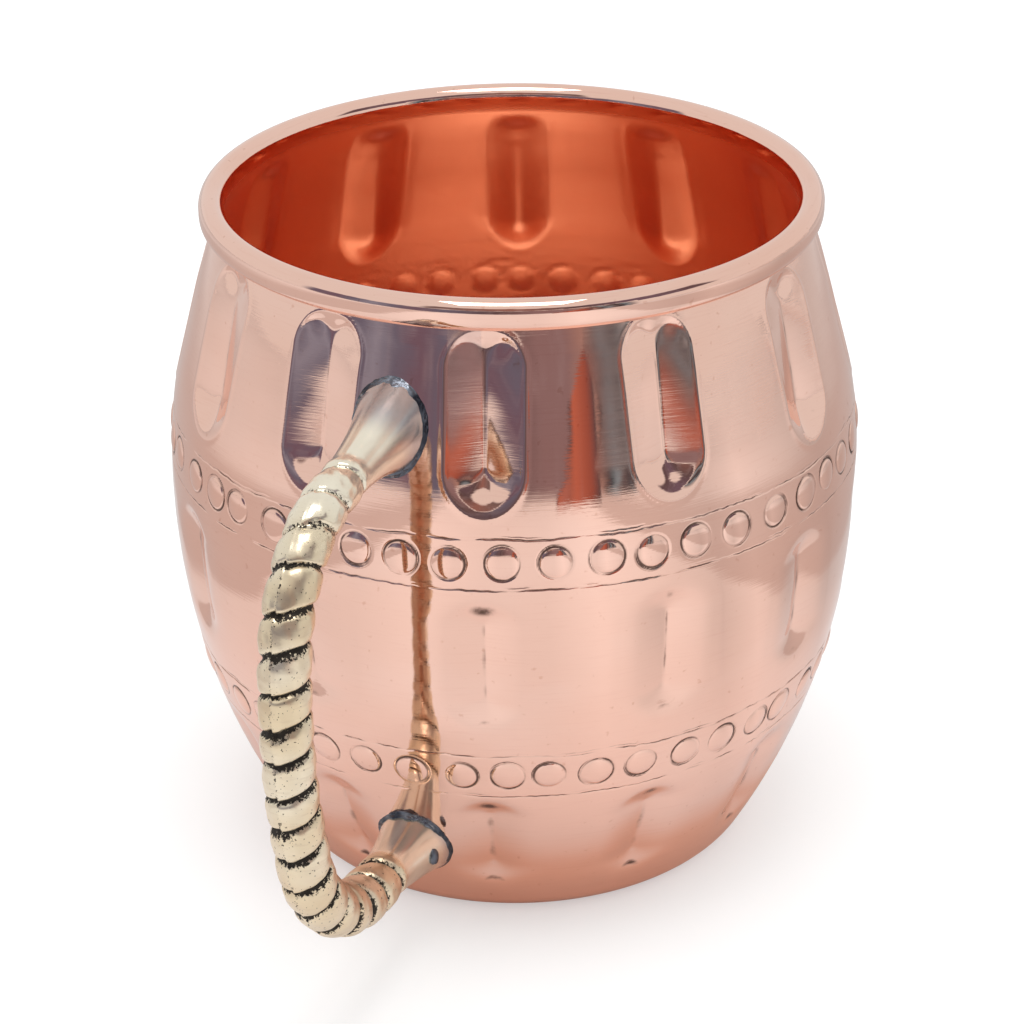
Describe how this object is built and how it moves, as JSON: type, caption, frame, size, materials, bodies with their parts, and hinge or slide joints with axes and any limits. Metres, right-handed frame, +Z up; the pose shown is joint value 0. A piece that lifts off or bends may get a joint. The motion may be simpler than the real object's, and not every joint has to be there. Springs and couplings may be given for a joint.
{
  "type": "drinking mug",
  "caption": "Barrel-shaped copper drinking mug with pressed flutes, bands of round studs, a curled rim and a cast brass rope handle soldered on at two feet.",
  "frame": {"origin": "centre of the flat base that the mug stands on, on the mug's axis", "axes": "+Z up along the mug's axis; +X from the axis towards the handle, which lies in the XZ plane"},
  "size_m": [0.1288, 0.0958, 0.095],
  "materials": {
    "copper": "polished copper, unlacquered, fine polishing lines",
    "copper_wire": "drawn copper wire",
    "cast_brass": "cast, filed and polished, dark patina left in the grooves",
    "solder": "dull grey soft solder, partly wiped"
  },
  "bodies": {
    "root": {"body_shell": "copper", "rim_wire": "copper_wire", "handle": "cast_brass", "vent_plug": "solder", "upper_solder": "solder", "lower_solder": "solder"}
  },
  "joints": []
}
